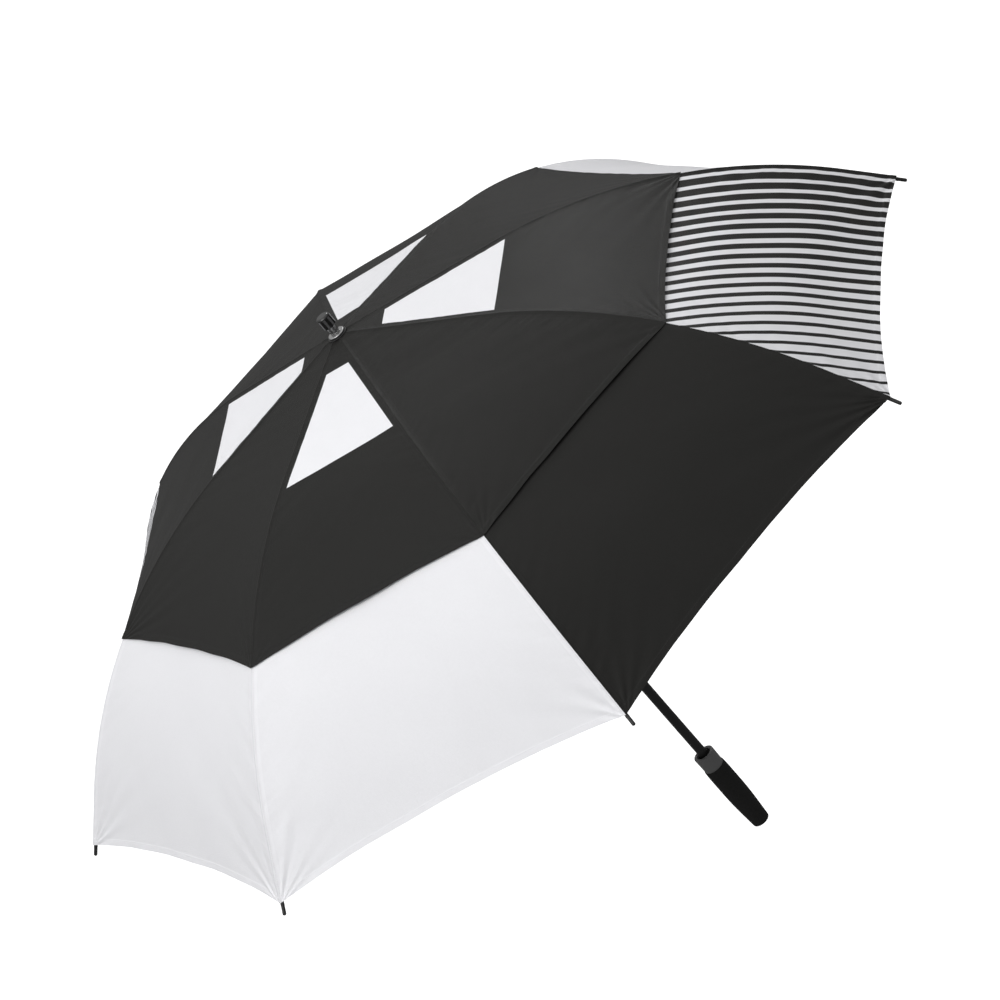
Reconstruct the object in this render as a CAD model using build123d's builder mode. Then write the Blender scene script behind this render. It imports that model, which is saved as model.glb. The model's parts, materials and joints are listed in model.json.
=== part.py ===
"""Golf umbrella with eight ribs and a vented double canopy, shown open.

The origin is the centre of the handle's butt face and +Z runs up the shaft to the ferrule.
Rib 1 lies over +X and the others follow clockwise, seen from above. Each rib, strut and
canopy panel is drawn once, in the plane of rib 1, and turned into its place.
"""

from build123d import *
from math import atan2, cos, hypot, pi, sin
import os

os.makedirs("parts", exist_ok=True)

# Shaft and handle, with heights measured up from the butt face
SHAFT_D = 14.0
SHAFT_WALL = 1.0
SHAFT_FOOT = 6.0
GRIP_LENGTH = 116.0
GRIP_WALL = 6.7
GRIP_TOP_DRAW = 0.5
GRIP_TOP_LEAN = 0.05
GRIP_END_DRAW = 3.5
GRIP_BELLY_LENGTH = 25.0
GRIP_SHOULDER = 20.0
GRIP_END_ROUND = 2.6
GRIP_END_TURN = 86.0
GRIP_FOOT = 0.4
CORE_WALL = 3.0
PLUG_HEAD = 3.0
PLUG_STEM = 16.0
PLUG_EDGE = 0.4
COLLAR_LENGTH = 26.0
COLLAR_DRAW = 1.0
COLLAR_FLARE = 0.5
COLLAR_FLOOR = 4.0
COLLAR_RIM_ROUND = 1.0

# Ribs: straight at the root, then an arc, then straight again to the tip
RIBS = 8
HINGE_STAND = 5.0
FOLD = 74.0
CLOSED_STAND = 66.537
RIB_LENGTH = 800.0
RIB_SLOPE = 0.18
RIB_ROOT_STRAIGHT = 224.0
RIB_TIP_STRAIGHT = 80.0
RIB_BEND_R = 730.0
RIB_D = 4.0
RIB_END_D = 3.6
JOINT_AT = 384.0
JOINT_DROP = 7.0
TAB_THICK = 3.2
ROOT_EYE_R = 2.3
JOINT_EYE_R = 2.2
TAB_LENGTH = 10.0
ROD_START = 8.0
TIP_WALL = 0.7
TIP_LENGTH = 29.0
TIP_OVERLAP = 14.0
TIP_RING = 1.5
TIP_RING_WIDTH = 0.2
TIP_FLAT = 0.15

# Struts, the hinge wires and the clips that join strut and rib
STRUT_D = 3.5
WIRE_D = 1.4
EYE_PLAY = 0.35
PIN_D = 1.8
PIN_PLAY = 0.1
PIN_HEAD_D = 3.0
PIN_HEAD = 0.5
CLIP_LIP = 1.0
EAR_THICK = 1.2
EAR_PLAY = 0.25
CLIP_SLEEVE = 15.0
CLIP_WALL = 1.2
STRUT_EYE_R = 2.4

# Top notch and runner
SLOT_PLAY = 0.6
EYE_GAP = 1.0
GROOVE_PLAY = 0.1
CROWN_RIM = 2.2
NOTCH_TOP = 3.4
NOTCH_PLATE = 0.7
NOTCH_DEPTH = 5.0
CROWN_HALF = 4.0
CROWN_CHAMFER = 0.5
RUNNER_WALL = 2.85
RUNNER_SLEEVE = 74.0
RUNNER_PLAY = 0.15
RUNNER_EDGE = 0.8
THUMB_FLANGE = 5.0
FLANGE_DROP = 52.0
FLANGE_THICK = 3.0
WINDOW_TOP = 22.0
WINDOW_LENGTH = 16.0
WINDOW_WIDTH = 3.4
COLLAR_PLAY = 0.75

# Catches sprung out of slots in the shaft
CATCH_AZIMUTH = 67.5
CATCH_THICK = 1.6
CATCH_REACH = 2.6
CATCH_LENGTH = 20.0
CATCH_PLAY = 0.5
CATCH_TAIL = 12.0
CATCH_LEAF = 1.2
CATCH_STEP = 3.0

# Fabric, carried a little clear of the ribs
FABRIC = 0.6
MAIN_RISE = 2.9
VENT_RISE = 4.2
VENT_HOLE_AT = 392.0
VENT_HEM_AT = 496.0
VENT_START = 1.0
MAIN_HEM_SAG = 13.0
VENT_HEM_SAG = 9.4

# Ferrule, with heights measured up from the plane of the rib roots
ROSETTE_FOOT = 4.9
ROSETTE_RIM = 0.3
ROSETTE_THICK = 1.2
ROSETTE_ROUND = 0.5
FERRULE_FLANGE = 5.5
FERRULE_FLANGE_THICK = 3.0
FERRULE_FLANGE_ROUND = 1.2
NECK_TOP = 21.5
NECK_FLUTES = 14
FLUTE_R = 0.9
SPIGOT_LENGTH = 15.0
STUD_R = 4.0
STUD_LENGTH = 11.0
CAP_WALL = 3.0
CAP_TOP = 40.0
CAP_ROUND = 3.5
CAP_LIP = 0.8

tip_d = RIB_END_D + 2 * TIP_WALL
shaft_r = SHAFT_D / 2
bore_r = shaft_r - SHAFT_WALL
core_r = shaft_r + CORE_WALL
belly_r = core_r + GRIP_WALL
grip_top_r = belly_r - GRIP_TOP_DRAW
grip_end_r = belly_r - GRIP_END_DRAW
collar_foot_r = grip_top_r - COLLAR_DRAW
collar_rim_r = collar_foot_r + COLLAR_FLARE
hinge_r = shaft_r + HINGE_STAND
crown_r = hinge_r + CROWN_RIM
sleeve_r = shaft_r + RUNNER_PLAY + RUNNER_WALL
thumb_r = sleeve_r + THUMB_FLANGE
rosette_r = crown_r + ROSETTE_RIM
flange_r = shaft_r + FERRULE_FLANGE
cap_r = shaft_r + CAP_WALL
tab_half = TAB_THICK / 2
wire_eye_r = WIRE_D / 2 + EYE_PLAY
pin_eye_r = PIN_D / 2 + PIN_PLAY
slot_width = TAB_THICK + 2 * SLOT_PLAY
slot_end_r = hinge_r - ROOT_EYE_R - EYE_GAP
collar_top = GRIP_LENGTH + COLLAR_LENGTH
rib_bend = RIB_LENGTH - RIB_ROOT_STRAIGHT - RIB_TIP_STRAIGHT
step = 360 / RIBS
half_step = pi / RIBS
flange_top = ROSETTE_FOOT + ROSETTE_THICK + FERRULE_FLANGE_THICK


def rib_line(s, rise=0.0):
    """Radius, drop below the root and slope of the rib at a distance s along it, rise above its middle."""
    straight = min(s, RIB_ROOT_STRAIGHT)
    turn = min(max(s - RIB_ROOT_STRAIGHT, 0), rib_bend) / RIB_BEND_R
    end = max(s - RIB_ROOT_STRAIGHT - rib_bend, 0)
    slope = RIB_SLOPE + turn
    r = hinge_r + straight * cos(RIB_SLOPE) + RIB_BEND_R * (sin(slope) - sin(RIB_SLOPE)) + end * cos(slope)
    drop = straight * sin(RIB_SLOPE) + RIB_BEND_R * (cos(RIB_SLOPE) - cos(slope)) + end * sin(slope)
    return r + rise * sin(slope), drop - rise * cos(slope), slope


# The shaft is as long as the shut frame needs, with the runner's pivots CLOSED_STAND above the collar
pin_r, pin_drop, joint_slope = rib_line(JOINT_AT, -JOINT_DROP)
strut_length = hypot(pin_r - hinge_r, pin_drop)
open_lean = atan2(pin_r - hinge_r, pin_drop)
closed_height = collar_top + CLOSED_STAND
apex_height = closed_height + 2 * strut_length * cos(open_lean - FOLD * pi / 180)


def rib_at(s, rise=0.0):
    """Radius and height of a point on the rib, for use in the rib's own plane."""
    r, drop, _ = rib_line(s, rise)
    return r, apex_height - drop


def rib_curve(start, stop, rise=0.0):
    """The edges of the rib from start to stop, for use inside a BuildLine block."""
    bend_start, bend_stop = RIB_ROOT_STRAIGHT, RIB_ROOT_STRAIGHT + rib_bend
    if start < bend_start:
        Line(rib_at(start, rise), rib_at(min(stop, bend_start), rise))
    low, high = max(start, bend_start), min(stop, bend_stop)
    if low < high:
        ThreePointArc(rib_at(low, rise), rib_at((low + high) / 2, rise), rib_at(high, rise))
    if stop > bend_stop:
        Line(rib_at(max(start, bend_stop), rise), rib_at(stop, rise))


hinge = (hinge_r, apex_height)
flex_pin = rib_at(JOINT_AT)
strut_pin = rib_at(JOINT_AT, -JOINT_DROP)
runner_pin = (hinge_r, 2 * strut_pin[1] - apex_height)
runner_height = runner_pin[1]
joint_angle = joint_slope * 180 / pi


def save(part, name):
    part.label = name
    export_step(part, f"parts/{name}.step")


def save_round(part, name):
    """Write one copy of the part at every rib, numbered clockwise from +X."""
    for index in range(RIBS):
        with BuildPart() as placed:
            with Locations(Location((0, 0, 0), (0, 0, -step * index))):
                add(part)
        save(placed.part, f"{name}_{index + 1}")


def rib_plane(azimuth):
    """The upright plane through the shaft at an azimuth, with its x outwards and its y upwards."""
    turn = azimuth * pi / 180
    return Plane(origin=(0, 0, 0), x_dir=(cos(turn), sin(turn), 0), z_dir=(sin(turn), -cos(turn), 0))


def tab(at, angle, length, eye_r, hole_r, thick):
    """A flat tab with a rounded end about a hinge, running off at an angle in the rib's plane."""
    with BuildPart() as flat:
        with BuildSketch(Plane.XZ):
            with Locations(Location((at[0], at[1], 0), (0, 0, angle))):
                Circle(eye_r)
                Rectangle(length, 2 * eye_r, align=(Align.MIN, Align.CENTER))
                Circle(hole_r, mode=Mode.SUBTRACT)
        extrude(amount=thick / 2, both=True)
    return flat.part


def rod(path, diameter):
    """A round rod along a path in the rib's plane."""
    with BuildPart() as bar:
        with BuildSketch(Plane(origin=path.line @ 0, z_dir=path.line % 0)):
            Circle(diameter / 2)
        sweep(path=path.line)
    return bar.part


def make_rib():
    """Inner length of a rib, from its eye in the top notch to the clip."""
    with BuildLine(Plane.XZ) as path:
        rib_curve(ROD_START, JOINT_AT - ROD_START)
    with BuildPart() as rib:
        add(tab(hinge, -RIB_SLOPE * 180 / pi, TAB_LENGTH, ROOT_EYE_R, wire_eye_r, TAB_THICK))
        add(rod(path, RIB_D))
    return rib.part


def make_rib_end():
    """Outer length of a rib, from its eye in the clip to the tip."""
    with BuildLine(Plane.XZ) as path:
        rib_curve(JOINT_AT + ROD_START, RIB_LENGTH)
    with BuildPart() as rib:
        add(tab(flex_pin, -joint_angle, TAB_LENGTH, JOINT_EYE_R, pin_eye_r, TAB_THICK))
        add(rod(path, RIB_END_D))
    return rib.part


def make_rib_tip():
    """Moulded tip on the rib's end, with a ring that stops the canopy's corner."""
    with BuildPart() as tip:
        r, z = rib_at(RIB_LENGTH - TIP_OVERLAP)
        slope = rib_line(RIB_LENGTH)[2]
        along = Vector(cos(slope), 0, -sin(slope))
        seat = Plane(origin=(r, 0, z), x_dir=(0, 1, 0), z_dir=along)
        with BuildSketch(seat):
            Circle(tip_d / 2)
        extrude(amount=TIP_LENGTH)
        fillet(tip.faces().sort_by(Axis((r, 0, z), tuple(along)))[-1].edges(), tip_d / 2 - TIP_FLAT)
        with BuildSketch(seat.offset(TIP_OVERLAP)):
            Circle(tip_d / 2 + TIP_RING_WIDTH)
        extrude(amount=TIP_RING)
        with BuildSketch(seat):
            Circle(RIB_END_D / 2)
        extrude(amount=TIP_OVERLAP, mode=Mode.SUBTRACT)
    return tip.part


def make_strut():
    """Strut from the runner's hinge wire up to the clip."""
    rise = strut_pin[1] - runner_pin[1]
    reach = strut_pin[0] - runner_pin[0]
    angle = atan2(rise, reach) * 180 / pi
    along = (reach / strut_length, rise / strut_length)
    ends = [
        (runner_pin[0] + along[0] * d, runner_pin[1] + along[1] * d)
        for d in (ROD_START, strut_length - ROD_START)
    ]
    with BuildLine(Plane.XZ) as path:
        Line(*ends)
    with BuildPart() as strut:
        add(tab(runner_pin, angle, TAB_LENGTH, ROOT_EYE_R, wire_eye_r, TAB_THICK))
        add(tab(strut_pin, angle + 180, TAB_LENGTH, STRUT_EYE_R, pin_eye_r, TAB_THICK))
        add(rod(path, STRUT_D))
    return strut.part


def make_strut_joint():
    """Clip on the rib with two ears, and the two headed pins through them."""
    ear_inside = tab_half + EAR_PLAY
    ear_outside = ear_inside + EAR_THICK
    clip_r = RIB_D / 2 + CLIP_WALL
    sleeve_end = JOINT_AT - ROD_START + CLIP_LIP
    with BuildLine(Plane.XZ) as path:
        rib_curve(sleeve_end - CLIP_SLEEVE, sleeve_end)
    with BuildLine(Plane.XZ) as hole:
        rib_curve(sleeve_end - CLIP_SLEEVE - CLIP_LIP, JOINT_AT - ROD_START)
    with BuildPart() as clip:
        add(rod(path, 2 * clip_r))
        for side in (1, -1):
            with BuildSketch(Plane.XZ.offset(side * ear_inside)):
                with Locations(flex_pin):
                    Circle(JOINT_EYE_R)
                with Locations(strut_pin):
                    Circle(STRUT_EYE_R)
                make_hull()
                with Locations(Location((flex_pin[0], flex_pin[1], 0), (0, 0, 180 - joint_angle))):
                    Rectangle(ROD_START + CLIP_LIP, 2 * JOINT_EYE_R, align=(Align.MIN, Align.CENTER))
            extrude(amount=side * EAR_THICK)
        add(rod(hole, RIB_D), mode=Mode.SUBTRACT)
        with BuildSketch(Plane.XZ):
            with Locations(flex_pin, strut_pin):
                Circle(PIN_D / 2)
        extrude(amount=ear_outside, both=True, mode=Mode.SUBTRACT)
    with BuildPart() as pins:
        with BuildSketch(Plane.XZ):
            with Locations(flex_pin, strut_pin):
                Circle(PIN_D / 2)
        extrude(amount=ear_outside + PIN_HEAD, both=True)
        for side in (1, -1):
            with BuildSketch(Plane.XZ.offset(side * ear_outside)):
                with Locations(flex_pin, strut_pin):
                    Circle(PIN_HEAD_D / 2)
            extrude(amount=side * PIN_HEAD)
    with BuildPart() as joint:
        add(clip.part)
        add(pins.part)
    return joint.part


def make_panel(start, stop, rise, sag):
    """Canopy panel between ribs 1 and 2, with its outer hem hollowed by an arc of the given sag."""
    with BuildPart() as panel:
        for azimuth in (0, -step):
            with BuildSketch(rib_plane(azimuth)):
                with BuildLine():
                    rib_curve(start, stop, rise)
                    rib_curve(start, stop, rise + FABRIC)
                    Line(rib_at(start, rise), rib_at(start, rise + FABRIC))
                    Line(rib_at(stop, rise), rib_at(stop, rise + FABRIC))
                make_face()
        loft(ruled=True)
        corner_r = rib_at(stop, rise + FABRIC)[0]
        half_chord = corner_r * sin(half_step)
        hem_r = (half_chord**2 + sag**2) / (2 * sag)
        centre = corner_r * cos(half_step) - sag + hem_r
        with BuildSketch(Plane.XY.offset(apex_height)):
            with Locations((centre * cos(-half_step), centre * sin(-half_step))):
                Circle(hem_r)
        extrude(amount=-RIB_LENGTH, mode=Mode.SUBTRACT)
    return panel.part


def save_panels(panel, name, gores):
    """Write the panels of one colour as a node, with one solid for each gore."""
    with BuildPart() as placed:
        for gore in gores:
            with Locations(Location((0, 0, 0), (0, 0, -step * gore))):
                add(panel)
    save(placed.part, name)


def crown_slots(height, low, high):
    """What a crown loses at a height: slots for the hinge tabs and a groove for their wire."""
    groove = WIRE_D + 2 * GROOVE_PLAY
    with BuildPart() as slots:
        with BuildSketch(Plane.XY.offset(height + low)):
            with PolarLocations(slot_end_r, RIBS):
                Rectangle(crown_r, slot_width, align=(Align.MIN, Align.CENTER))
        extrude(amount=high - low)
        with BuildSketch(Plane.XZ):
            with Locations((hinge_r - groove / 2, height)):
                Rectangle(crown_r, groove, align=(Align.MIN, Align.CENTER))
        revolve(axis=Axis.Z)
    return slots.part


def make_top_notch():
    with BuildPart() as notch:
        with BuildSketch(Plane.XY.offset(apex_height - NOTCH_DEPTH)):
            Circle(crown_r)
            Circle(shaft_r, mode=Mode.SUBTRACT)
        extrude(amount=NOTCH_DEPTH + NOTCH_TOP)
        rim = notch.faces().sort_by(Axis.Z)[-1].edges().sort_by(SortBy.RADIUS)[-1]
        chamfer(rim, CROWN_CHAMFER)
        add(crown_slots(apex_height, -NOTCH_DEPTH, NOTCH_TOP - NOTCH_PLATE), mode=Mode.SUBTRACT)
    return notch.part


def make_runner():
    """Runner with its slotted crown, a long sleeve, a thumb flange and a window for the catch."""
    with BuildPart() as runner:
        foot = runner_height - RUNNER_SLEEVE
        with BuildSketch(Plane.XZ):
            with BuildLine():
                Polyline(
                    (0, foot),
                    (sleeve_r - RUNNER_EDGE, foot),
                    (sleeve_r, foot + RUNNER_EDGE),
                    (sleeve_r, runner_height - FLANGE_DROP - FLANGE_THICK),
                    (thumb_r, runner_height - FLANGE_DROP - FLANGE_THICK / 2),
                    (thumb_r, runner_height - FLANGE_DROP),
                    (sleeve_r, runner_height - FLANGE_DROP + 2 * FLANGE_THICK),
                    (sleeve_r, runner_height - CROWN_HALF - FLANGE_THICK),
                    (crown_r, runner_height - CROWN_HALF),
                    (crown_r, runner_height + CROWN_HALF),
                    (0, runner_height + CROWN_HALF),
                    close=True,
                )
            make_face()
        revolve(axis=Axis.Z)
        with BuildSketch(Plane.XY.offset(foot)):
            Circle(shaft_r + RUNNER_PLAY)
        extrude(amount=RUNNER_SLEEVE + CROWN_HALF, mode=Mode.SUBTRACT)
        add(crown_slots(runner_height, -CROWN_HALF, CROWN_HALF), mode=Mode.SUBTRACT)
        with BuildSketch(rib_plane(CATCH_AZIMUTH)):
            with Locations((0, runner_height - WINDOW_TOP)):
                Rectangle(thumb_r, WINDOW_LENGTH, align=(Align.MIN, Align.MAX))
        extrude(amount=WINDOW_WIDTH / 2, both=True, mode=Mode.SUBTRACT)
    return runner.part


def make_wire(height):
    with BuildPart() as wire:
        with BuildSketch(Plane.XZ):
            with Locations((hinge_r, height)):
                Circle(WIRE_D / 2)
        revolve(axis=Axis.Z)
    return wire.part


def make_catch(shoulder, way):
    """Sprung leaf with a wedge that stands out of the shaft; way is 1 where the wedge's step faces up."""
    inner = bore_r - EYE_PLAY - CATCH_LEAF
    with BuildPart() as catch:
        with BuildSketch(rib_plane(CATCH_AZIMUTH)):
            with BuildLine():
                Polyline(
                    (inner, shoulder - way * (CATCH_LENGTH + CATCH_TAIL)),
                    (bore_r - EYE_PLAY, shoulder - way * (CATCH_LENGTH + CATCH_TAIL)),
                    (bore_r - EYE_PLAY, shoulder - way * CATCH_LENGTH),
                    (shaft_r + CATCH_REACH, shoulder - way * CATCH_STEP),
                    (shaft_r + CATCH_REACH, shoulder),
                    (inner, shoulder),
                    close=True,
                )
            make_face()
        extrude(amount=CATCH_THICK / 2, both=True)
    return catch.part


def make_shaft(catches):
    """Shaft tube with a slot for each catch."""
    top = apex_height + flange_top
    with BuildPart() as shaft:
        with BuildSketch(Plane.XY.offset(SHAFT_FOOT)):
            Circle(shaft_r)
            Circle(bore_r, mode=Mode.SUBTRACT)
        extrude(amount=top - SHAFT_FOOT)
        for shoulder, way in catches:
            with BuildSketch(rib_plane(CATCH_AZIMUTH)):
                middle = shoulder - way * CATCH_LENGTH / 2
                with Locations((0, middle)):
                    Rectangle(SHAFT_D, CATCH_LENGTH + 2 * CATCH_PLAY, align=(Align.MIN, Align.CENTER))
            extrude(amount=CATCH_THICK / 2 + CATCH_PLAY / 2, both=True, mode=Mode.SUBTRACT)
    return shaft.part


def make_grip():
    """Soft grip with a straight belly, drawn in towards its rounded end."""
    belly_top = GRIP_LENGTH - GRIP_SHOULDER
    belly_foot = belly_top - GRIP_BELLY_LENGTH
    with BuildPart() as grip:
        with BuildSketch(Plane.XZ):
            with BuildLine():
                Line((core_r, PLUG_HEAD), (core_r, GRIP_FOOT))
                foot = Line((core_r, GRIP_FOOT), (grip_end_r - GRIP_END_ROUND, GRIP_FOOT))
                end = JernArc(foot @ 1, (1, 0), GRIP_END_ROUND, GRIP_END_TURN)
                Spline(end @ 1, (belly_r, belly_foot), tangents=[end % 1, (0, 1)])
                Line((belly_r, belly_foot), (belly_r, belly_top))
                lean = [(0, 1), (-GRIP_TOP_LEAN, 1)]
                Spline((belly_r, belly_top), (grip_top_r, GRIP_LENGTH), tangents=lean)
                Line((grip_top_r, GRIP_LENGTH), (core_r, GRIP_LENGTH))
                Line((core_r, GRIP_LENGTH), (core_r, PLUG_HEAD))
            make_face()
        revolve(axis=Axis.Z)
    return grip.part


def make_handle_core():
    """Moulded sleeve between the shaft and the grip."""
    with BuildPart() as core:
        with BuildSketch(Plane.XY.offset(PLUG_HEAD)):
            Circle(core_r)
            Circle(shaft_r, mode=Mode.SUBTRACT)
        extrude(amount=GRIP_LENGTH - PLUG_HEAD)
    return core.part


def make_butt_plug():
    """End plug pressed into the shaft's bore, flush with the butt face."""
    with BuildPart() as plug:
        with BuildSketch(Plane.XY):
            Circle(core_r)
        extrude(amount=PLUG_HEAD)
        chamfer(plug.edges().group_by(Axis.Z)[0], PLUG_EDGE)
        with BuildSketch(Plane.XY.offset(PLUG_HEAD)):
            Circle(bore_r)
        extrude(amount=PLUG_STEM)
    return plug.part


def make_collar_cup():
    """Open cup on top of the grip, which takes the foot of the runner when the umbrella is shut."""
    cup_r = sleeve_r + COLLAR_PLAY
    with BuildPart() as collar:
        with BuildSketch(Plane.XZ):
            with BuildLine():
                Polyline(
                    (shaft_r, GRIP_LENGTH),
                    (collar_foot_r, GRIP_LENGTH),
                    (collar_rim_r, collar_top),
                    (cup_r, collar_top),
                    (cup_r, GRIP_LENGTH + COLLAR_FLOOR),
                    (shaft_r, GRIP_LENGTH + COLLAR_FLOOR),
                    close=True,
                )
            make_face()
        revolve(axis=Axis.Z)
        rim = collar.edges().group_by(Axis.Z)[-1]
        fillet(rim, COLLAR_RIM_ROUND)
    return collar.part


def make_ring(inner_r, outer_r, foot, thick, round_off):
    """A flat ring round the shaft with both outer edges rounded."""
    with BuildPart() as ring:
        with BuildSketch(Plane.XY.offset(apex_height + foot)):
            Circle(outer_r)
            Circle(inner_r, mode=Mode.SUBTRACT)
        extrude(amount=thick)
        outer = ring.edges().filter_by(GeomType.CIRCLE).group_by(SortBy.RADIUS)[-1]
        fillet(outer, round_off)
    return ring.part


def make_ferrule_neck():
    """Fluted neck, with a spigot down into the shaft and a stud up into the cap."""
    with BuildPart() as neck:
        with BuildSketch(Plane.XY.offset(apex_height + flange_top - SPIGOT_LENGTH)):
            Circle(bore_r)
        extrude(amount=SPIGOT_LENGTH)
        with BuildSketch(Plane.XY.offset(apex_height + flange_top)):
            Circle(shaft_r)
            with PolarLocations(shaft_r, NECK_FLUTES):
                Circle(FLUTE_R, mode=Mode.SUBTRACT)
        extrude(amount=NECK_TOP - flange_top)
        with BuildSketch(Plane.XY.offset(apex_height + NECK_TOP)):
            Circle(STUD_R)
        extrude(amount=STUD_LENGTH)
    return neck.part


def make_ferrule_cap():
    with BuildPart() as cap:
        with BuildSketch(Plane.XY.offset(apex_height + NECK_TOP)):
            Circle(cap_r)
        extrude(amount=CAP_TOP - NECK_TOP)
        fillet(cap.edges().group_by(Axis.Z)[-1], CAP_ROUND)
        chamfer(cap.edges().group_by(Axis.Z)[0], CAP_LIP)
        with BuildSketch(Plane.XY.offset(apex_height + NECK_TOP)):
            Circle(STUD_R)
        extrude(amount=STUD_LENGTH, mode=Mode.SUBTRACT)
    return cap.part


top_catch = (runner_height - RUNNER_SLEEVE - CATCH_PLAY, 1)
bottom_catch = (closed_height - WINDOW_TOP - WINDOW_LENGTH + CATCH_PLAY, -1)

save_round(make_rib(), "rib")
save_round(make_rib_end(), "rib_end")
save_round(make_rib_tip(), "rib_tip")
save_round(make_strut(), "strut")
save_round(make_strut_joint(), "strut_joint")

main_panel = make_panel(VENT_HOLE_AT, RIB_LENGTH, MAIN_RISE, MAIN_HEM_SAG)
save_panels(main_panel, "main_canopy_white", (0, 3, 4, 7))
save_panels(main_panel, "main_canopy_black", (2, 6))
save_panels(main_panel, "main_canopy_striped", (1, 5))
vent_panel = make_panel(VENT_START, VENT_HEM_AT, VENT_RISE, VENT_HEM_SAG)
save_panels(vent_panel, "vent_canopy", range(RIBS))

save(make_top_notch(), "top_notch")
save(make_wire(apex_height), "notch_wire")
save(make_runner(), "runner")
save(make_wire(runner_height), "runner_wire")
save(make_shaft((top_catch, bottom_catch)), "shaft_tube")
save(make_catch(*top_catch), "top_catch")
save(make_catch(*bottom_catch), "bottom_catch")
save(make_grip(), "grip")
save(make_handle_core(), "handle_core")
save(make_butt_plug(), "butt_plug")
save(make_collar_cup(), "collar_cup")
save(make_ring(shaft_r, rosette_r, ROSETTE_FOOT, ROSETTE_THICK, ROSETTE_ROUND), "rosette")
flange_foot = ROSETTE_FOOT + ROSETTE_THICK
flange = make_ring(shaft_r, flange_r, flange_foot, FERRULE_FLANGE_THICK, FERRULE_FLANGE_ROUND)
save(flange, "ferrule_flange")
save(make_ferrule_neck(), "ferrule_neck")
save(make_ferrule_cap(), "ferrule_cap")
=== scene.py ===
"""Golf umbrella: its cloth and the finish of every part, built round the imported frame.

The canopy is sixteen half panels for the main cover, sixteen for the crown of the vent and sixteen for the
vent's skirt. Each half panel is a thin closed sheet on one side of a rib and moves with that rib. Every
sheet is one function of the distance along the rib and the share of the way across the gore.
"""

import json
from math import asinh, atan, cos, pi, radians, sin, tan

import bpy
import numpy as np
from mathutils import Matrix, Vector


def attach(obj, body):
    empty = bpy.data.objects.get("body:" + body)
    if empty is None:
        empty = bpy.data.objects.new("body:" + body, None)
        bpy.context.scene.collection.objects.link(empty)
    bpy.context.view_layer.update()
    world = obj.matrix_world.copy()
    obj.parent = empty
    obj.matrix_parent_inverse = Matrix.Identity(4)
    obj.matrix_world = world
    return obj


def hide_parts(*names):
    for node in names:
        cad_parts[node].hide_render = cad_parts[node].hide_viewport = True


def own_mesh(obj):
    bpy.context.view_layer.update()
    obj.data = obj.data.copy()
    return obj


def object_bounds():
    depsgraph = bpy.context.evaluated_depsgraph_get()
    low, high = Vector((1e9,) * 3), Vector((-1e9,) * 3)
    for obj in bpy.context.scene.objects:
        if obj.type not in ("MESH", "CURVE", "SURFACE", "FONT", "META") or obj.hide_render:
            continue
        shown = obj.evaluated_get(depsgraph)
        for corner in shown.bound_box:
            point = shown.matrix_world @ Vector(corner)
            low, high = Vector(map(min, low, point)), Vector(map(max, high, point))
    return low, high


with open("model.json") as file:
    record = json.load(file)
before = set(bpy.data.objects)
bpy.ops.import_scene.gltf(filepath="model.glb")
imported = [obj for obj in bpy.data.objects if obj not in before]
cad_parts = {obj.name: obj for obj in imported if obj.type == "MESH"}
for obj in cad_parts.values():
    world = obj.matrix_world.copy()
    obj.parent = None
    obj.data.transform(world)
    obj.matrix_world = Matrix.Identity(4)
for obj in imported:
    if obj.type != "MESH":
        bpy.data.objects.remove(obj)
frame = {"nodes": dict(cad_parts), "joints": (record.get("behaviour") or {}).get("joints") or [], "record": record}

cad_low, cad_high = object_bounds()

# Frame: where the ribs start and bend, read from the joints, and the line that each rib follows
JOINTS = {joint["name"]: joint for joint in frame["joints"]}
ROOT_R, _, APEX = JOINTS["rib_1_fold"]["pos_m"]
FLEX_R = JOINTS["rib_1_flex"]["pos_m"][0]
RIBS = 8
STEP = 2 * pi / RIBS
RIB_LENGTH = 0.800
RIB_SLOPE = 0.18
ROOT_STRAIGHT = 0.224
TIP_STRAIGHT = 0.080
BEND_R = 0.730
BEND = RIB_LENGTH - ROOT_STRAIGHT - TIP_STRAIGHT

# Cloth: where the sheets start and end along the rib, and how far they stand off it
CLOTH = 0.0005
MAIN_RISE = 0.0032
VENT_RISE = 0.0045
MAIN_TOP_GAP = 0.007
MAIN_HEM_AT = 0.799
MAIN_HEM_SAG = 0.0165
VENT_TOP_AT = 0.001
VENT_HEM_AT = 0.496
VENT_HEM_SAG = 0.0085
HEM_WIDTH = 0.009
HEM_BOW = 2.5
HEM_RIPPLE = 0.0004
HEM_STEP = 0.0004
HEM_STEP_BLUR = 0.0007
HEM_WAVE_LENGTH = 0.045
HEM_WAVE_REACH = 0.015
SEAM_WIDTH = 0.008
SEAM_RIDGE = 0.0011
SEAM_RIDGE_REACH = 0.0032
SEAM_CALM = 0.004
FOLD_LENGTH = 0.16
PUCKER_LENGTH = 0.016
PUCKER_REACH = 0.020
LONG_PUCKER_LENGTH = 0.045
LONG_PUCKER_REACH = 0.070
CORNER_REACH = 0.085
CORNER_CLEAR = 0.02
CORNER_TURN = 0.42

# Weave and stitches
THREAD_PITCH = 0.0006
STITCH_PITCH = 0.0030
HEM_STITCH_IN = 0.0012
SEAM_STITCH_AT = 0.0022
STITCH_HALF = 0.0003
STITCH_BLUR = 0.00015
WEAVE_DEPTH = 0.0005

# Colours, as light reflected from 0 to 1
WHITE = (0.86, 0.86, 0.885, 1)
BLACK = (0.0178, 0.0175, 0.0165, 1)
MAIN_COLOURS = ("white", "striped", "black", "white", "white", "striped", "black", "white")
PRINTED = (1, 3, 5, 7)
BLOCK_TOP = 0.062
BLOCK_FOOT = 0.246
BLOCK_MARGIN = 0.010
STRIPE_FIRST = 0.024
STRIPE_STEP = 0.0242
STRIPE_WIDTH = 0.0166
STRIPE_TAPER = 0.020


# Shader expressions ------------------------------------------------------------------------------


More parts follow.
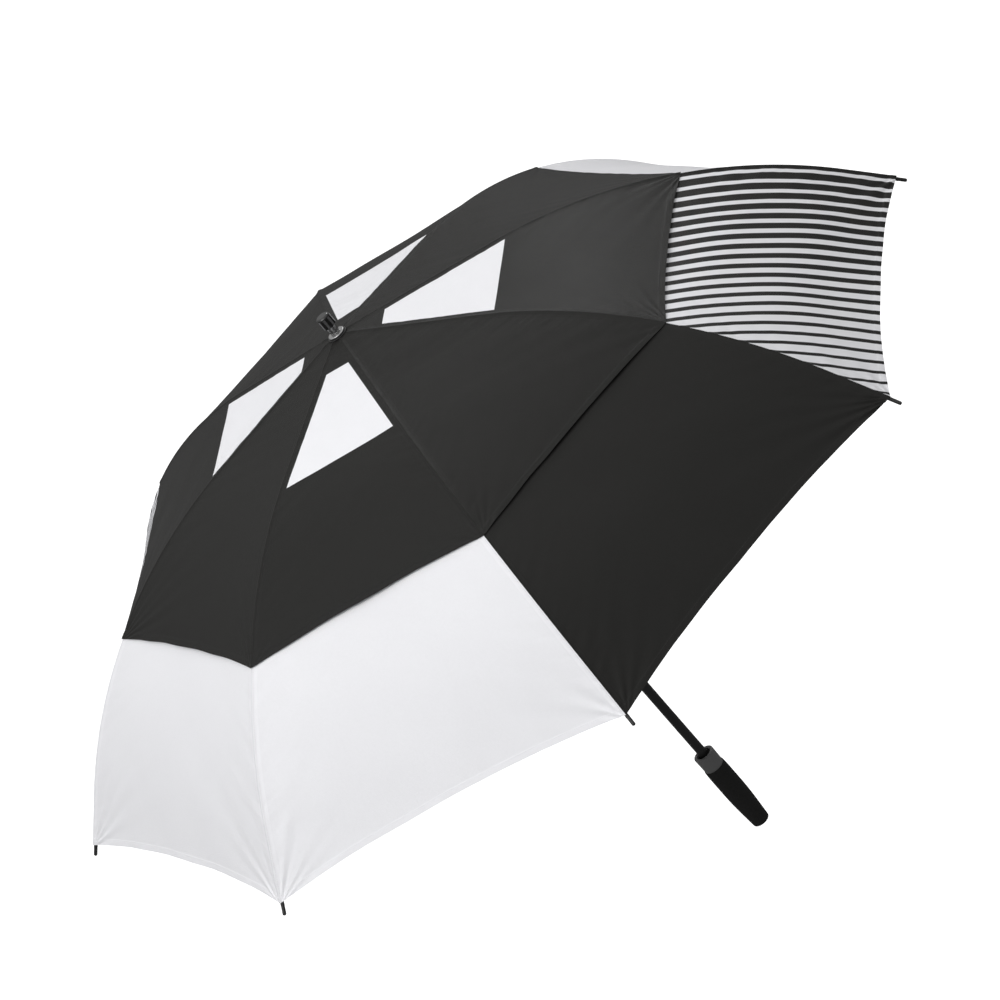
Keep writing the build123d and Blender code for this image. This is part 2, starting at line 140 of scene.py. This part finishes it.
class Value:
    """A number or colour on a node's output. Arithmetic on it adds Math nodes to the same material."""

    def __init__(self, socket):
        self.socket = socket

    def math(self, operation, *others, clamp=False):
        settings = {"operation": operation, "use_clamp": clamp}
        return add_node(self.socket.id_data, "Math", settings, dict(enumerate((self, *others))))

    def __add__(self, other):
        return self.math("ADD", other)

    def __sub__(self, other):
        return self.math("SUBTRACT", other)

    def __rsub__(self, other):
        return (self * -1) + other

    def __mul__(self, other):
        return self.math("MULTIPLY", other)

    def __truediv__(self, other):
        return self.math("DIVIDE", other)

    __radd__ = __add__
    __rmul__ = __mul__

    def below(self, edge, blur=0.0003):
        """1 where the value is below the edge, 0 above it, softened over twice the blur."""
        return ((edge - self) / (2 * blur)).math("ADD", 0.5, clamp=True)

    def above(self, edge, blur=0.0003):
        return 1 - self.below(edge, blur)

    def near(self, middle, reach, blur=0.0003):
        """1 within a reach of the middle value and 0 elsewhere."""
        return (self - middle).math("ABSOLUTE").below(reach, blur)


def add_node(tree, kind, settings, sockets, output=0):
    """Add a shader node, set its properties, then its inputs, and give one of its outputs."""
    node = tree.nodes.new("ShaderNode" + kind)
    for key, value in settings.items():
        setattr(node, key, value)
    for key, value in sockets.items():
        if isinstance(value, Value):
            tree.links.new(value.socket, node.inputs[key])
        else:
            node.inputs[key].default_value = value
    return Value(node.outputs[output])


class Finish:
    """A material under construction, with one Principled shader."""

    def __init__(self, name, **numbers):
        self.material = bpy.data.materials.new(name)
        self.material.use_nodes = True
        self.tree = self.material.node_tree
        self.shader = self.tree.nodes["Principled BSDF"]
        for key, value in numbers.items():
            self.shader.inputs[key.replace("_", " ")].default_value = value

    def node(self, kind, settings=None, sockets=None, output=0):
        return add_node(self.tree, kind, settings or {}, sockets or {}, output)

    def mix(self, share, first, second):
        """Colour between the first and the second by the share."""
        settings = {"data_type": "RGBA"}
        return self.node("Mix", settings, {0: share, 6: first, 7: second}, output=2)

    def place(self, scale=(1, 1, 1)):
        """Object coordinates, stretched by a scale."""
        spot = self.node("TexCoord", output=3)
        return self.node("VectorMath", {"operation": "MULTIPLY"}, {0: spot, 1: scale})

    def noise(self, size, spot, detail=2.0, rough=0.5):
        """Noise from 0 to 1 with features of about the size, in metres."""
        sockets = {"Vector": spot, "Scale": 1 / size, "Detail": detail, "Roughness": rough}
        return self.node("TexNoise", {}, sockets)

    def set(self, **links):
        for key, value in links.items():
            self.tree.links.new(value.socket, self.shader.inputs[key.replace("_", " ")])
        return self

    def bump(self, height, depth):
        """Normal bumped by a height from 0 to 1, times the depth in metres."""
        self.set(Normal=self.node("Bump", {}, {"Height": height, "Distance": depth, "Strength": 1.0}))
        return self


# Cloth -------------------------------------------------------------------------------------------


def cloth_finish(name, kind):
    """Plain-woven coated cloth, with its double-layered hem and seams, stitches and printed colour, a painted
    highlight along the seams and painted shade in each seam's groove.

    The first map gives the distance across from the gore's first seam and along the rib, and the
    second the distances from the nearest seam and from the hem, all in metres.
    """
    finish = Finish(name, Specular_IOR_Level=0.12)
    split = {"Vector": finish.node("UVMap", {"uv_map": "cloth"})}
    across = finish.node("SeparateXYZ", {}, split, output=0)
    along = finish.node("SeparateXYZ", {}, split, output=1)
    split = {"Vector": finish.node("UVMap", {"uv_map": "edges"})}
    seam = finish.node("SeparateXYZ", {}, split, output=0)
    hem = finish.node("SeparateXYZ", {}, split, output=1)
    spot = finish.place()

    # Weave: warp and weft cross at a right angle and pass over each other in turn
    thread = 2 * pi / THREAD_PITCH
    warp = (across * thread).math("SINE")
    weft = (along * thread).math("SINE")
    weave = warp * weft * 0.5 + 0.5

    # Stitches: a dashed line inside the hem and one beside each seam
    dash_hem = (across * (2 * pi / STITCH_PITCH)).math("SINE").above(-0.35, 0.2)
    dash_seam = (along * (2 * pi / STITCH_PITCH)).math("SINE").above(-0.35, 0.2)
    stitch = hem.near(HEM_WIDTH - HEM_STITCH_IN, STITCH_HALF, STITCH_BLUR) * dash_hem
    stitch = stitch + seam.near(SEAM_STITCH_AT, STITCH_HALF, STITCH_BLUR) * dash_seam
    # Hem and seam strips, where the cloth lies double: lighter partly for the double layer and partly as a painted
    # highlight along each seam ridge
    doubled_and_seam_highlight = (hem.below(HEM_WIDTH, 0.0004)).math("MAXIMUM", seam.below(SEAM_WIDTH, 0.0006))
    clouds = finish.noise(0.09, spot, 3.0, 0.55)
    slubs = finish.noise(0.004, spot, 2.0, 0.6)

    # Painted shade: a thin dark line right on each seam, for the shade in its groove
    painted_seam_shade = seam.below(0.0006, 0.0004)
    light = clouds * 0.04 + slubs * 0.03 + doubled_and_seam_highlight * 0.035 - stitch * 0.10 - painted_seam_shade * 0.12 + 0.93
    if kind == "white":
        colour = finish.mix(light.math("MULTIPLY", 1.0, clamp=True), (0, 0, 0, 1), WHITE)
    elif kind == "black":  # Half the light on twice the black, so that the share stays under 1
        colour = finish.mix(light * 0.5, (0, 0, 0, 1), tuple(2 * c for c in BLACK))
    else:
        if kind == "striped":
            count = ((across - STRIPE_FIRST) / STRIPE_STEP).math("ROUND")
            offset = (across - STRIPE_FIRST) - count * STRIPE_STEP
            half_width = (STRIPE_WIDTH - across * STRIPE_TAPER) * 0.5
            dark = (offset.math("ABSOLUTE") - half_width).below(0.0, 0.0004)
        else:
            inside = seam.above(BLOCK_MARGIN) * along.above(BLOCK_TOP) * along.below(BLOCK_FOOT)
            dark = 1 - inside
        printed = finish.mix(dark, WHITE, BLACK)
        colour = finish.mix(light.math("MULTIPLY", 1.0, clamp=True), (0, 0, 0, 1), printed)
    roughness = 0.38 + clouds * 0.08 + slubs * 0.06
    height = weave * 0.10 + slubs * 0.25 - stitch * 0.45 + doubled_and_seam_highlight * 0.3
    return finish.set(Base_Color=colour, Roughness=roughness).bump(height, WEAVE_DEPTH).material


def rib_line(s):
    """Radius, height and slope of a rib's middle at the distance s: straight, then an arc, then straight."""
    straight = np.minimum(s, ROOT_STRAIGHT)
    slope = RIB_SLOPE + np.clip(s - ROOT_STRAIGHT, 0, BEND) / BEND_R
    end = np.maximum(s - ROOT_STRAIGHT - BEND, 0)
    r = ROOT_R + straight * cos(RIB_SLOPE) + BEND_R * (np.sin(slope) - sin(RIB_SLOPE)) + end * np.cos(slope)
    z = APEX - straight * sin(RIB_SLOPE) - BEND_R * (cos(RIB_SLOPE) - np.cos(slope)) - end * np.sin(slope)
    return r, z, slope


def ripple(x, seed, length, count=6):
    """Uneven waves along x: a sum of sines whose lengths lie about the given length, of height about 1."""
    draw = np.random.default_rng(seed)
    lengths = length * draw.uniform(0.65, 1.7, count)
    phases = draw.uniform(0, 2 * pi, count)
    return sum(np.sin(2 * pi * x / size + phase) for size, phase in zip(lengths, phases)) / count**0.5


def folds(x, y, seed, length, count=7):
    """Uneven waves over a plane: a sum of sines that run in different directions, of height about 1."""
    draw = np.random.default_rng(seed)
    turns = draw.uniform(0, pi, count)
    lengths = length * draw.uniform(0.6, 1.6, count)
    phases = draw.uniform(0, 2 * pi, count)
    total = 0
    for turn, size, phase in zip(turns, lengths, phases):
        total = total + np.sin(2 * pi * (x * cos(turn) + y * sin(turn)) / size + phase)
    return total / count**0.5


def chord(s):
    """Distance straight across a gore, from one rib to the next, at the distance s along them."""
    return 2 * rib_line(s)[0] * sin(STEP / 2)


def hem_at(cover, gore, share):
    """Distance along the ribs at which a gore ends: an arc drawn in between the tips, with slight ripples."""
    bow = 1 - np.abs(2 * share - 1) ** HEM_BOW
    return cover["end"] - cover["sag"] * bow + HEM_RIPPLE * bow * ripple(share, cover["seed"] + gore, 0.25)


def lift(cover, gore, s, share):
    """How far the cloth stands off the flat gore, in metres.

    It bellies in between the ribs, rises in a ridge over each seam, puckers beside it, is thicker at
    its hem, and has folds that fan out from the corners, where the tips pull on it.
    """
    width = chord(s)
    bow = np.maximum(4 * share * (1 - share), 0)
    edge = hem_at(cover, gore, share) - s
    out = -cover["belly"] * bow * np.clip(s / 0.5, 0.1, 1) ** 1.5
    out = out + cover["folds"] * bow**1.5 * folds(share * width, s, cover["seed"] + 31 * gore, FOLD_LENGTH)
    for side, gap in ((0, share * width), (1, (1 - share) * width)):
        seed = cover["seed"] + 100 * (2 * gore + side)
        away = 1 - np.exp(-gap / SEAM_CALM)
        out = out + SEAM_RIDGE * np.exp(-((gap / SEAM_RIDGE_REACH) ** 2))
        pucker = ripple(s + 0.35 * gap, seed, PUCKER_LENGTH) * np.exp(-gap / PUCKER_REACH)
        long_pucker = ripple(s + 0.8 * gap, seed + 1, LONG_PUCKER_LENGTH)
        long_pucker = long_pucker * np.exp(-gap / LONG_PUCKER_REACH)
        out = out + cover["pucker"] * away * (pucker + 1.3 * long_pucker)
        reach = np.hypot(gap, edge)
        fan = np.arctan2(gap, edge + 0.004)
        fade = np.exp(-reach / CORNER_REACH) * np.clip(reach / CORNER_CLEAR, 0, 1)
        out = out + cover["corner"] * away * fade * ripple(fan, seed + 2, CORNER_TURN, 4)
    out = out + HEM_STEP / (1 + np.exp((edge - HEM_WIDTH) / HEM_STEP_BLUR))
    wave = ripple(share * width, cover["seed"] + gore + 7, HEM_WAVE_LENGTH)
    wave = wave * np.exp(-edge / HEM_WAVE_REACH)
    return out + cover["hem_wave"] * bow * wave


def gore_point(cover, gore, s, share, side):
    """Point on a gore, in the frame of one of its ribs: out along it, across towards the other, and up.

    The gore is straight across between its two ribs, and the lift is along the rib's own normal,
    turned about the shaft in step with the share.
    """
    own = share if side == 0 else 1 - share
    r, z, slope = rib_line(s)
    stand = cover["rise"] + lift(cover, gore, s, share)
    r = r + cover["rise"] * np.sin(slope)
    turn = own * STEP
    flat_x = r * (1 - own + own * cos(STEP))
    flat_y = r * own * sin(STEP)
    push = (stand - cover["rise"]) * np.sin(slope)
    return np.stack([
        flat_x + push * np.cos(turn),
        flat_y + push * np.sin(turn),
        z + stand * np.cos(slope),
    ], -1)


def spread(count, fine):
    """Numbers from 0 to 1 on a hyperbolic sine: close together at 0, and closer for a smaller fineness."""
    return np.sinh(np.linspace(0, 1, count) * asinh(1 / fine)) * fine


def rib_axes(rib, side):
    """Directions out along a rib, towards its neighbour on a side, and up, as rows."""
    azimuth = -STEP * rib
    out = np.array([cos(azimuth), sin(azimuth), 0])
    over = np.array([sin(azimuth), -cos(azimuth), 0]) * (1 if side == 0 else -1)
    return np.stack([out, over, [0, 0, 1]])


def sheet_mesh(name, grid, normals, maps, flipped):
    """A closed sheet: the grid of points is its outer face, and the inner one is one cloth's thickness under.

    Rows and columns are joined by quads, and a strip round the rim joins the two faces.
    """
    rows, columns = grid.shape[:2]
    count = rows * columns
    number = np.arange(count).reshape(rows, columns)
    top = np.stack([number[:-1, :-1], number[1:, :-1], number[1:, 1:], number[:-1, 1:]], -1).reshape(-1, 4)
    rim = np.concatenate([number[:-1, 0], number[-1, :-1], number[:0:-1, -1], number[0, :0:-1]])
    after = np.roll(rim, -1)
    strip = np.stack([rim, rim + count, after + count, after], -1)
    faces = np.concatenate([top, top[:, ::-1] + count, strip])
    if flipped:
        faces = faces[:, ::-1]
    points = np.concatenate([grid.reshape(-1, 3), (grid - CLOTH * normals).reshape(-1, 3)])
    mesh = bpy.data.meshes.new(name)
    mesh.vertices.add(len(points))
    mesh.vertices.foreach_set("co", points.astype(np.float32).ravel())
    mesh.loops.add(faces.size)
    mesh.loops.foreach_set("vertex_index", faces.astype(np.int32).ravel())
    mesh.polygons.add(len(faces))
    mesh.polygons.foreach_set("loop_start", np.arange(0, faces.size, 4, dtype=np.int32))
    mesh.update(calc_edges=True)
    smooth = np.ones(len(faces), bool)
    smooth[-len(strip):] = False
    mesh.polygons.foreach_set("use_smooth", smooth)
    for key, values in maps.items():
        layer = mesh.uv_layers.new(name=key)
        both = np.concatenate([values.reshape(-1, 2)] * 2)
        layer.data.foreach_set("uv", both[faces].astype(np.float32).ravel())
    flat = normals.reshape(-1, 3)
    both = np.concatenate([flat, -flat])[faces]
    corners = points[faces[-len(strip):]]
    edge = np.cross(corners[:, 2] - corners[:, 0], corners[:, 3] - corners[:, 1])
    edge /= np.linalg.norm(edge, axis=1)[:, None] + 1e-12
    both[-len(strip):] = edge[:, None]
    mesh.normals_split_custom_set(both.reshape(-1, 3))
    mesh.validate()
    return mesh


def half_panel(cover, part, gore, side, finish, node):
    """One half of a gore of a cover, on one of its two ribs, from the part's start to its end."""
    rib = (gore + side) % RIBS
    letter = "ab"[side]
    name = f"{part['name']}_{gore + 1}_{letter}"
    axes = rib_axes(rib, side)
    columns = spread(part["columns"], 0.03) * 0.5
    rows = 1 - spread(part["rows"], part["fine"])[::-1] if part["fine"] else np.linspace(0, 1, part["rows"])
    own = np.broadcast_to(columns, (len(rows), len(columns)))
    share = own if side == 0 else 1 - own
    start = part["start"](own) if callable(part["start"]) else part["start"] + 0 * own
    stop = part["stop"](own) if part["stop"] else hem_at(cover, gore, share)
    s = start + (stop - start) * rows[:, None]
    small = 0.0004

    def at(s, share):
        return gore_point(cover, gore, s, share, side)

    grid = at(s, share)
    across = (at(s, share + small) - at(s, share - small)) * (1 if side == 0 else -1)
    along = at(s + small, share) - at(s - small, share)
    normals = np.cross(across, -along)
    normals /= np.linalg.norm(normals, axis=-1)[..., None]
    normals = np.where(normals[..., 2:] < 0, -normals, normals)
    width = chord(s)
    maps = {
        "cloth": np.stack([share * width, s], -1),
        "edges": np.stack([own * width, hem_at(cover, gore, share) - s], -1),
    }
    mesh = sheet_mesh(name, grid @ axes, normals @ axes, maps, flipped=side == 0)
    mesh.materials.append(finish)
    piece = bpy.data.objects.new(name, mesh)
    bpy.context.scene.collection.objects.link(piece)
    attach(piece, f"{part['body']}_{rib + 1}")
    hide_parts(node)
    gather(piece, part, axes, grid @ axes)
    long = float((stop - start).max())
    wide = float((own * width).max())
    area = float(np.abs(flat_area(own * width, s)))
    return piece


def flat_area(x, y):
    """Area of a grid of points in a plane: half the cross product of each quad's diagonals, summed."""
    ax, ay = x[1:, 1:] - x[:-1, :-1], y[1:, 1:] - y[:-1, :-1]
    bx, by = x[1:, :-1] - x[:-1, 1:], y[1:, :-1] - y[:-1, 1:]
    return 0.5 * np.sum(ax * by - ay * bx)


def gather(piece, part, axes, points):
    """Work out how a half panel would fall in against its rib as the frame shuts, and give it its own mesh.

    The direction is across the rib, tilted so that the middle of the gore, which lies lower than the ribs,
    comes up level with them. This direction and its anchor are worked out but not applied, so the panel does not
    move.
    """
    slope = part["slope"]
    tilt = atan(tan(STEP / 2) * sin(slope))
    out = sin(slope) * axes[0] + cos(slope) * axes[2]
    axis = cos(tilt) * axes[1] - sin(tilt) * out
    seam = points[:, 0] @ axis
    middle = points[len(points) // 2, 0]
    anchor = middle + ((seam.max() + seam.min()) / 2 - middle @ axis) * axis
    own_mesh(piece)


def skirt_start(own):
    """Distance along the rib at which a half gore crosses the upright plane of its rib's second hinge."""
    return at_radius(FLEX_R / (1 - own + own * cos(STEP)))


def main_start(own):
    """Distance along the rib at which the main cover starts: a little beyond that plane, under the skirt."""
    return skirt_start(own) + MAIN_TOP_GAP


def at_radius(radius):
    """Distance along the rib at which the vent's cloth is at a radius, from the straight and the arc."""
    table = np.linspace(0, RIB_LENGTH, 4001)
    r, _, slope = rib_line(table)
    return np.interp(radius, r + VENT_RISE * np.sin(slope), table)


MAIN = {
    "rise": MAIN_RISE, "end": MAIN_HEM_AT, "sag": MAIN_HEM_SAG, "belly": 0.0065, "folds": 0.0009,
    "pucker": 0.00018, "corner": 0.0008, "hem_wave": 0.0003, "seed": 11,
}
VENT = {
    "rise": VENT_RISE, "end": VENT_HEM_AT, "sag": VENT_HEM_SAG, "belly": 0.0030, "folds": 0.0005,
    "pucker": 0.00016, "corner": 0.0004, "hem_wave": 0.0002, "seed": 5011,
}
MAIN_HALF = {
    "name": "main_gore", "body": "rib_end", "start": main_start, "stop": None, "rows": 112, "fine": 0.1,
    "columns": 52, "slope": radians(35.5), "keep": 0.085,
}
CROWN_HALF = {
    "name": "vent_crown", "body": "rib", "start": VENT_TOP_AT, "stop": skirt_start, "rows": 84, "fine": None,
    "columns": 42, "slope": radians(14), "keep": 0.095,
}
SKIRT_HALF = {
    "name": "vent_skirt", "body": "rib_end", "start": skirt_start, "stop": None, "rows": 40, "fine": 0.1,
    "columns": 42, "slope": radians(35.5), "keep": 0.10,
}


def make_canopy():
    finishes = {kind: cloth_finish(f"cloth_{kind}", kind) for kind in ("white", "black", "striped", "vent")}
    for gore in range(RIBS):
        colour = MAIN_COLOURS[gore]
        vent = finishes["vent" if gore in PRINTED else "black"]
        for side in (0, 1):
            node = f"main_canopy_{colour}"
            half_panel(MAIN, MAIN_HALF, gore, side, finishes[colour], node)
            for part in (CROWN_HALF, SKIRT_HALF):
                half_panel(VENT, part, gore, side, vent, "vent_canopy")


# Frame and handle --------------------------------------------------------------------------------


def foam():
    """Closed-cell foam: small pits of uneven size over a matt skin."""
    finish = Finish("grip_foam", Specular_IOR_Level=0.3)
    spot = finish.place()
    sockets = {"Vector": spot, "Scale": 900.0, "Smoothness": 0.4}
    cells = finish.node("TexVoronoi", {"feature": "SMOOTH_F1"}, sockets)
    grain = finish.noise(0.0009, spot, 3.0, 0.6)
    wear = finish.noise(0.02, spot, 2.0)
    colour = finish.mix(grain * 0.6 + wear * 0.4, (0.008, 0.008, 0.008, 1), (0.022, 0.022, 0.021, 1))
    finish.set(Base_Color=colour, Roughness=0.72 + grain * 0.16)
    return finish.bump(cells * 0.5 + grain * 0.5, 0.0003).material


def lacquer(name, dark, pale, roughness, grain_size, depth, streak=(1, 1, 1), **numbers):
    """Painted, moulded or drawn skin: fine grain, stretched along one axis where it is drawn."""
    finish = Finish(name, **numbers)
    spot = finish.place(streak)
    grain = finish.noise(grain_size, spot, 3.0, 0.6)
    patches = finish.noise(0.03, finish.place(), 2.0)
    colour = finish.mix(grain * 0.5 + patches * 0.5, dark, pale)
    finish.set(Base_Color=colour, Roughness=roughness + grain * 0.10 + patches * 0.08)
    return finish.bump(grain, depth).material


def grey(level, warm=0.0):
    return (level * (1 + warm), level, level * (1 - warm), 1)


def make_finishes():
    """Material of each slot of the frame and the handle."""
    drawn = (1, 1, 0.04)
    turned = (0.05, 0.05, 1)
    plate = (grey(0.40), grey(0.52))
    return {
        "grip_black": foam(),
        "shaft_black": lacquer("shaft_lacquer", grey(0.008), grey(0.014), 0.26, 0.0008, 0.00002, drawn),
        "collar_grey": lacquer("collar_moulding", grey(0.140), grey(0.170), 0.38, 0.0007, 0.00005),
        "moulding_black": lacquer("black_moulding", grey(0.010), grey(0.018), 0.40, 0.0007, 0.00006),
        "cap_black": lacquer("cap_moulding", grey(0.006), grey(0.010), 0.12, 0.002, 0.00002, Coat_Weight=0.4),
        "gunmetal": lacquer("gunmetal_plate", *plate, 0.16, 0.0006, 0.00002, turned, Metallic=1.0),
        "rib_black": lacquer("glass_fibre", grey(0.010), grey(0.020), 0.30, 0.0009, 0.00003),
        "strut_black": lacquer("strut_lacquer", grey(0.010), grey(0.016), 0.28, 0.001, 0.00002),
        "wire_steel": lacquer("spring_wire", grey(0.50), grey(0.62), 0.24, 0.0005, 0.00001, Metallic=1.0),
        "clip_steel": lacquer("clip_lacquer", grey(0.014), grey(0.030), 0.34, 0.0006, 0.00003),
    }


def dress_frame():
    """Give every CAD node that stays in view the material of its slot."""
    finishes = make_finishes()
    slots = {row["node"]: row["material_slot"] for row in frame["record"]["subparts"]}
    for name, node in frame["nodes"].items():
        if slots[name] in finishes:
            node.data.materials.clear()
            node.data.materials.append(finishes[slots[name]])


# Studio ------------------------------------------------------------------------------------------

AIM = Vector((-0.0343, -0.0657, 0.6725))
DISTANCE = 6.6
AZIMUTH = radians(-131.927)
ELEVATION = radians(24.492)
ROLL = radians(-41.053)
LENS = 177.566
SKY_BASE = 0.19
SKY_RISE = 0.80
BACK_POWER = 24
FRONT_POWER = 68
ROUND_SIDES = 96
FLOOR_DROP = 8.0
DOME_R = 50.0
DOME_RINGS = 9
HUB_R = 0.01


def make_camera():
    """Camera that looks at the aim from its azimuth and elevation, rolled about its own line of sight."""
    back = Vector((cos(ELEVATION) * cos(AZIMUTH), cos(ELEVATION) * sin(AZIMUTH), sin(ELEVATION)))
    level = Vector((0, 0, 1)).cross(back).normalized()
    upright = back.cross(level)
    right = cos(ROLL) * level + sin(ROLL) * upright
    up = back.cross(right)
    turn = Matrix((right, up, back)).transposed().to_4x4()
    lens = bpy.data.cameras.new("camera")
    lens.lens, lens.sensor_width = LENS, 36.0
    camera = bpy.data.objects.new("camera", lens)
    camera.matrix_world = Matrix.Translation(AIM + DISTANCE * back) @ turn
    bpy.context.scene.collection.objects.link(camera)
    bpy.context.scene.camera = camera


def make_light(name, azimuth, elevation, size, power, distance=4.0):
    """Square soft light that faces the umbrella."""
    azimuth, elevation = radians(azimuth), radians(elevation)
    back = Vector((cos(elevation) * cos(azimuth), cos(elevation) * sin(azimuth), sin(elevation)))
    light = bpy.data.lights.new(name, "AREA")
    light.size, light.energy = size, power
    lamp = bpy.data.objects.new(name, light)
    turn = back.to_track_quat("Z", "Y").to_matrix().to_4x4()
    lamp.matrix_world = Matrix.Translation(AIM + distance * back) @ turn
    bpy.context.scene.collection.objects.link(lamp)


def glowing(name, strength):
    """Matt white surface with a light of its own, so that it reads as plain white."""
    finish = Finish(name, Roughness=0.9, Specular_IOR_Level=0.0)
    finish.shader.inputs["Base Color"].default_value = (0.4, 0.4, 0.4, 1)
    finish.shader.inputs["Emission Color"].default_value = (1, 1, 1, 1)
    finish.shader.inputs["Emission Strength"].default_value = strength
    return finish.material


def make_round(name, profile, strength):
    """Stage piece turned about the shaft's axis from radii and heights, seen but casting no shade."""
    turns = np.linspace(0, 2 * pi, ROUND_SIDES, endpoint=False)
    rings = [(r * np.cos(turns), r * np.sin(turns), np.full(ROUND_SIDES, z)) for r, z in profile]
    points = np.concatenate([np.stack(ring, -1) for ring in rings])
    near = np.arange(ROUND_SIDES)
    after = np.roll(near, -1)
    band = np.stack([near, after, after + ROUND_SIDES, near + ROUND_SIDES], -1)
    faces = [band + ROUND_SIDES * row for row in range(len(rings) - 1)]
    mesh = bpy.data.meshes.new(name)
    mesh.from_pydata(points.tolist(), [], np.concatenate(faces).tolist())
    mesh.materials.append(glowing(name, strength))
    piece = bpy.data.objects.new(name, mesh)
    bpy.context.scene.collection.objects.link(piece)
    piece.visible_shadow = piece.visible_diffuse = piece.visible_glossy = False


def make_sky():
    """Soft light from all round, brighter overhead than at the horizon and below it."""
    world = bpy.data.worlds.new("studio")
    world.use_nodes = True
    tree = world.node_tree
    sight = add_node(tree, "TexCoord", {}, {}, output=0)
    height = add_node(tree, "SeparateXYZ", {}, {"Vector": sight}, output=2)
    strength = height.math("MAXIMUM", 0.0) * SKY_RISE + SKY_BASE
    sky = tree.nodes["Background"]
    sky.inputs["Color"].default_value = (1, 1, 1, 1)
    tree.links.new(strength.socket, sky.inputs["Strength"])
    bpy.context.scene.world = world


def make_studio():
    bpy.context.scene.view_settings.view_transform = "Standard"
    floor_z = cad_low[2] - FLOOR_DROP
    make_round("studio_floor", [(HUB_R, floor_z), (DOME_R, floor_z)], 1.0)
    bend = np.linspace(0, pi / 2, DOME_RINGS)
    dome = [(DOME_R * cos(turn), floor_z + DOME_R * sin(turn)) for turn in bend[:-1]]
    make_round("studio_backdrop", dome + [(HUB_R, floor_z + DOME_R)], 1.0)
    make_sky()
    make_light("back_light", 14, 34, 1.3, BACK_POWER)
    make_light("front_light", -170, 50, 3.0, FRONT_POWER)


make_camera()
make_studio()
make_canopy()
dress_frame()
